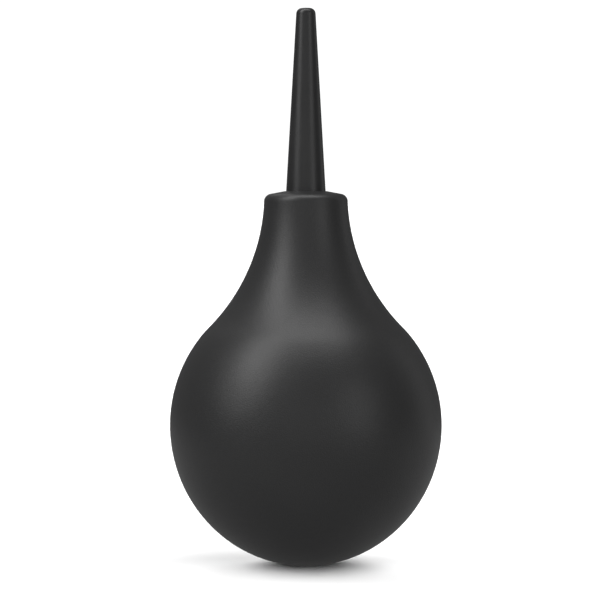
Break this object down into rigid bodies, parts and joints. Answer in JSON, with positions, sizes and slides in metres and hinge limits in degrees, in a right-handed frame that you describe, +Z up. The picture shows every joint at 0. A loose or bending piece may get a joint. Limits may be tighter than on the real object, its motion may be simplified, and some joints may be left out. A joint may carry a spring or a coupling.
{
  "type": "dust blower bulb",
  "caption": "Hollow rubber bulb that stands on its round base, with a slim tapered nozzle pushed into its neck and a one-way air inlet valve in its base.",
  "frame": {"origin": "on the axis of the bulb, at the middle of the flat foot that it stands on", "axes": "+Z up along the bulb's axis, out through the nozzle's tip; X and Y are any two level directions, as the part is round"},
  "size_m": [0.06, 0.06, 0.1226],
  "materials": {
    "bulb_rubber": "matt moulded rubber with a soft sheen",
    "nozzle_plastic": "satin",
    "valve_plastic": "satin",
    "valve_silicone": "soft matt silicone",
    "screen_steel": "fine woven wire"
  },
  "bodies": {
    "bulb": {"bulb": "bulb_rubber"},
    "nozzle": {"nozzle": "nozzle_plastic"},
    "inlet_valve": {"valve_body": "valve_plastic", "valve_cage": "valve_plastic", "filter_screen": "screen_steel"},
    "valve_disc": {"valve_disc": "valve_silicone"}
  },
  "joints": [
    {"name": "squeeze", "type": "slide", "parent": "bulb", "child": "inlet_valve", "axis": [0, 0, 1], "range_m": [0, 0.018], "stiffness_N_per_m": 1000, "deforming": ["bulb"]},
    {"name": "valve_lift", "type": "slide", "parent": "inlet_valve", "child": "valve_disc", "axis": [0, 0, 1], "range_m": [0, 0.001]},
    {"name": "nozzle_pull", "type": "slide", "parent": "bulb", "child": "nozzle", "axis": [0, 0, 1], "range_m": [0, 0.016]}
  ]
}
